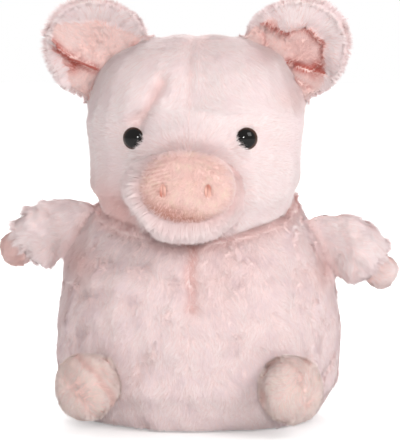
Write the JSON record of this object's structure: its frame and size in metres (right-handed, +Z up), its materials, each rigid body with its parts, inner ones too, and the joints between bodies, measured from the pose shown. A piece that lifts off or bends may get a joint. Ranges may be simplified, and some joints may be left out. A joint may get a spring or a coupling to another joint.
{
  "type": "plush pig",
  "caption": "Sitting plush toy pig with a big head, cupped ears, a fur muzzle with a flat nose pad, plastic eyes, short arms and stub feet.",
  "frame": {"origin": "middle of the flat base panel, on the surface that the pig sits on", "axes": "+Z up, -Y the way the pig faces, +X the pig's own left"},
  "size_m": [0.2227, 0.1715, 0.2271],
  "materials": {
    "long_pile": "long pile plush, combed",
    "short_pile": "short pile plush, mottled",
    "trotter_pile": "short pile plush",
    "nose_pile": "short pile velour, brushed",
    "lining_pile": "short pile velour",
    "embroidery_thread": "satin stitch",
    "eye_plastic": "polished",
    "washer_plastic": "moulded",
    "stuffing_fibre": "loose polyester fibre",
    "pellet_cloth": "woven cloth"
  },
  "bodies": {
    "torso": {"body_front_left": "short_pile", "body_front_right": "short_pile", "body_back_left": "short_pile", "body_back_right": "short_pile", "body_base": "short_pile", "body_stuffing": "stuffing_fibre", "pellet_bag": "pellet_cloth"},
    "neck": {"neck_stuffing": "stuffing_fibre"},
    "head": {"head_panel_left": "long_pile", "head_panel_right": "long_pile", "head_stuffing": "stuffing_fibre", "muzzle_panel": "long_pile", "muzzle_stuffing": "stuffing_fibre", "nose_pad": "nose_pile", "nostril_stitching_left": "embroidery_thread", "nostril_stitching_right": "embroidery_thread", "eye_left": "eye_plastic", "eye_right": "eye_plastic", "eye_washer_left": "washer_plastic", "eye_washer_right": "washer_plastic"},
    "ear_left": {"ear_back_left": "long_pile", "ear_lining_left": "lining_pile"},
    "arm_left": {"arm_sleeve_left": "long_pile", "arm_stuffing_left": "stuffing_fibre", "trotter_left": "trotter_pile"},
    "foot_left": {"foot_cover_left": "short_pile", "foot_stuffing_left": "stuffing_fibre"},
    "ear_right": {"ear_back_right": "long_pile", "ear_lining_right": "lining_pile"},
    "arm_right": {"arm_sleeve_right": "long_pile", "arm_stuffing_right": "stuffing_fibre", "trotter_right": "trotter_pile"},
    "foot_right": {"foot_cover_right": "short_pile", "foot_stuffing_right": "stuffing_fibre"},
    "tail": {"tail": "short_pile"}
  },
  "joints": [
    {"name": "neck_turn", "type": "hinge", "parent": "torso", "child": "neck", "pos_m": [0, 0.002, 0.117], "axis": [0, -0.2924, 0.9563], "range_deg": [-25, 25], "stiffness_Nm_per_rad": 0.25},
    {"name": "head_nod", "type": "hinge", "parent": "neck", "child": "head", "pos_m": [0, 0.002, 0.117], "axis": [1, 0, 0], "range_deg": [-7, 7], "stiffness_Nm_per_rad": 0.6},
    {"name": "ear_left_fold", "type": "hinge", "parent": "head", "child": "ear_left", "pos_m": [0.04887, -0.004, 0.1974], "axis": [-0.7026, 0, 0.7116], "range_deg": [-45, 45], "stiffness_Nm_per_rad": 0.02},
    {"name": "ear_right_fold", "type": "hinge", "parent": "head", "child": "ear_right", "pos_m": [-0.04887, -0.004, 0.1974], "axis": [-0.7026, 0, -0.7116], "range_deg": [-45, 45], "stiffness_Nm_per_rad": 0.02},
    {"name": "arm_left_swing", "type": "hinge", "parent": "torso", "child": "arm_left", "pos_m": [0.07087, -0.006, 0.09546], "axis": [-0.4387, 0, 0.8987], "range_deg": [-35, 35], "stiffness_Nm_per_rad": 0.04},
    {"name": "arm_right_swing", "type": "hinge", "parent": "torso", "child": "arm_right", "pos_m": [-0.06657, -0.006, 0.10332], "axis": [-0.5358, 0, -0.8444], "range_deg": [-35, 35], "stiffness_Nm_per_rad": 0.04},
    {"name": "foot_left_flex", "type": "hinge", "parent": "torso", "child": "foot_left", "pos_m": [0.04841, -0.05978, 0.02616], "axis": [0, 0, 1], "range_deg": [-12, 12], "stiffness_Nm_per_rad": 0.04},
    {"name": "foot_right_flex", "type": "hinge", "parent": "torso", "child": "foot_right", "pos_m": [-0.04841, -0.05978, 0.02616], "axis": [0, 0, -1], "range_deg": [-12, 12], "stiffness_Nm_per_rad": 0.04},
    {"name": "tail_flex", "type": "hinge", "parent": "torso", "child": "tail", "pos_m": [0, 0.06805, 0.05], "axis": [1, 0, 0], "range_deg": [-30, 30], "stiffness_Nm_per_rad": 0.003}
  ]
}
